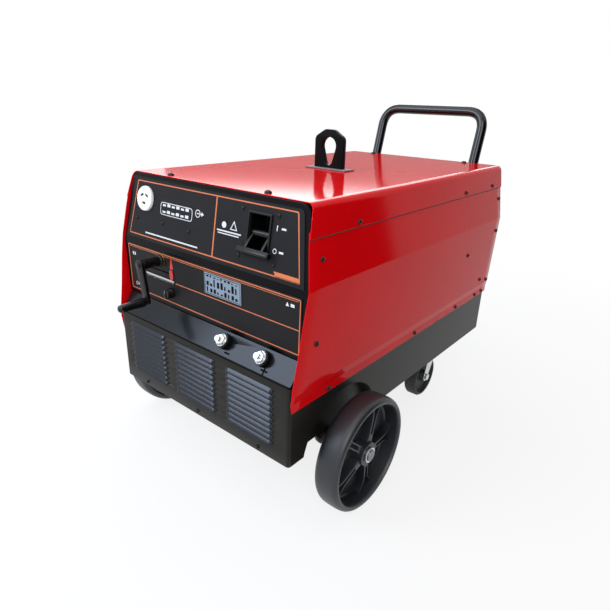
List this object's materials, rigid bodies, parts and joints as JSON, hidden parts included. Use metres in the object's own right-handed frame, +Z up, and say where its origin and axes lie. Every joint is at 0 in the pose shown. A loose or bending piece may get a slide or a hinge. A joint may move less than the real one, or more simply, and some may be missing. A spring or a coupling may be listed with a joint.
{
  "type": "engine driven welder",
  "caption": "Wheeled stick-welding power source: louvred sheet-metal case, current crank, power lever, output studs, lifting eye and push handle.",
  "frame": {"origin": "centre of the overall bounding box, on the floor", "axes": "+X to the machine's own left-hand side seen from behind the handle, which is the right-hand side seen from the front; +Y from the control front to the push handle; +Z up"},
  "size_m": [0.708, 1.0906, 0.8255],
  "materials": {
    "red_powder_paint": "gloss red powder paint on sheet steel",
    "black_powder_paint": "satin black powder paint on steel",
    "ledge_satin_paint": "satin dark grey paint on sheet steel",
    "printed_nameplate": "matt black printed aluminium plate",
    "black_moulded_plastic": "satin black moulded plastic",
    "wheel_moulding": "dense black moulded wheel",
    "caster_tyre": "black rubber caster wheel",
    "grey_gasket": "grey rubber seal",
    "white_outlet_plastic": "white moulded outlet face",
    "window_grey": "grey window film",
    "terminal_board_laminate": "brown laminate board",
    "mild_steel": "plain mill steel",
    "zinc_plate": "bright zinc plate",
    "aluminium": "brushed aluminium",
    "varnished_copper": "varnished copper winding",
    "brass": "turned brass"
  },
  "bodies": {
    "case": {"axle_bracket_left": "black_powder_paint", "axle_bracket_right": "black_powder_paint", "axle_nut_left": "zinc_plate", "axle_nut_right": "zinc_plate", "base_tray": "black_powder_paint", "cable_gland": "black_moulded_plastic", "caster_plate_left": "zinc_plate", "caster_plate_right": "zinc_plate", "choke_coil": "varnished_copper", "crank_bush": "brass", "display_window": "window_grey", "eye_gasket": "grey_gasket", "fan_guard": "zinc_plate", "fan_motor": "mild_steel", "front_axle": "zinc_plate", "front_panel": "black_powder_paint", "handle_clamp_left": "black_powder_paint", "handle_clamp_right": "black_powder_paint", "lift_frame": "mild_steel", "lifting_eye": "black_powder_paint", "louvre_panel": "black_powder_paint", "lower_nameplate": "printed_nameplate", "outlet_socket": "white_outlet_plastic", "output_ledge": "ledge_satin_paint", "output_stud_negative": "zinc_plate", "output_stud_positive": "zinc_plate", "primary_coil": "varnished_copper", "push_handle": "black_powder_paint", "rear_panel": "black_powder_paint", "rectifier_stack": "aluminium", "scale_plate": "aluminium", "secondary_coil": "varnished_copper", "side_panel_left": "red_powder_paint", "side_panel_right": "red_powder_paint", "stud_insulator_negative": "black_moulded_plastic", "stud_insulator_positive": "black_moulded_plastic", "stud_nut_negative": "zinc_plate", "stud_nut_positive": "zinc_plate", "switch_bezel": "black_moulded_plastic", "switch_body": "black_moulded_plastic", "terminal_board": "terminal_board_laminate", "top_cover": "red_powder_paint", "transformer_core": "mild_steel", "upper_nameplate": "printed_nameplate"},
    "crank": {"crank_arm": "black_moulded_plastic", "lead_screw": "mild_steel"},
    "grip": {"crank_grip": "black_moulded_plastic"},
    "core_carriage": {"moving_core": "mild_steel"},
    "pointer": {"current_pointer": "red_powder_paint"},
    "knob": {"selector_knob": "black_moulded_plastic"},
    "switch": {"switch_lever": "black_moulded_plastic"},
    "wheel_left": {"front_wheel_left": "wheel_moulding"},
    "wheel_right": {"front_wheel_right": "wheel_moulding"},
    "swivel_left": {"caster_fork_left": "zinc_plate", "caster_bolt_left": "zinc_plate"},
    "swivel_right": {"caster_fork_right": "zinc_plate", "caster_bolt_right": "zinc_plate"},
    "caster_left": {"caster_wheel_left": "caster_tyre"},
    "caster_right": {"caster_wheel_right": "caster_tyre"},
    "fan": {"fan_blade": "black_moulded_plastic"}
  },
  "joints": [
    {"name": "crank_turn", "type": "hinge", "parent": "case", "child": "crank", "pos_m": [-0.14, -0.47354, 0.488], "axis": [0, 1, 0], "range_deg": [0, 2880]},
    {"name": "core_slide", "type": "slide", "parent": "case", "child": "core_carriage", "axis": [0, 1, 0], "range_m": [0, 0.0481]},
    {"name": "pointer_slide", "type": "slide", "parent": "case", "child": "pointer", "axis": [-1, 0, 0], "range_m": [0, 0.0881]},
    {"name": "grip_spin", "type": "hinge", "parent": "crank", "child": "grip", "pos_m": [-0.1245, -0.51355, 0.41], "axis": [0, 1, 0], "continuous": true},
    {"name": "switch_throw", "type": "hinge", "parent": "case", "child": "switch", "pos_m": [0.1505, -0.39487, 0.5961], "axis": [-1, 0, 0], "range_deg": [0, 113]},
    {"name": "knob_turn", "type": "hinge", "parent": "case", "child": "knob", "pos_m": [-0.11, -0.41955, 0.418], "axis": [0, 1, 0], "range_deg": [-135, 135]},
    {"name": "wheel_spin_left", "type": "hinge", "parent": "case", "child": "wheel_left", "pos_m": [-0.3255, -0.27454, 0.13], "axis": [1, 0, 0], "continuous": true},
    {"name": "caster_swivel_left", "type": "hinge", "parent": "case", "child": "swivel_left", "pos_m": [-0.209, 0.26145, 0.15], "axis": [0, 0, 1], "continuous": true},
    {"name": "caster_roll_left", "type": "hinge", "parent": "swivel_left", "child": "caster_left", "pos_m": [-0.209, 0.22645, 0.0625], "axis": [1, 0, 0], "continuous": true},
    {"name": "wheel_spin_right", "type": "hinge", "parent": "case", "child": "wheel_right", "pos_m": [0.3255, -0.27454, 0.13], "axis": [1, 0, 0], "continuous": true},
    {"name": "caster_swivel_right", "type": "hinge", "parent": "case", "child": "swivel_right", "pos_m": [0.209, 0.26145, 0.15], "axis": [0, 0, 1], "continuous": true},
    {"name": "caster_roll_right", "type": "hinge", "parent": "swivel_right", "child": "caster_right", "pos_m": [0.209, 0.22645, 0.0625], "axis": [1, 0, 0], "continuous": true},
    {"name": "fan_spin", "type": "hinge", "parent": "case", "child": "fan", "pos_m": [0, 0.41646, 0.42], "axis": [0, 1, 0], "continuous": true}
  ],
  "couplings": [
    {"joint": "core_slide", "follows": "crank_turn", "m_per_rad": 0.00095493},
    {"joint": "pointer_slide", "follows": "crank_turn", "m_per_rad": 0.0017507}
  ]
}
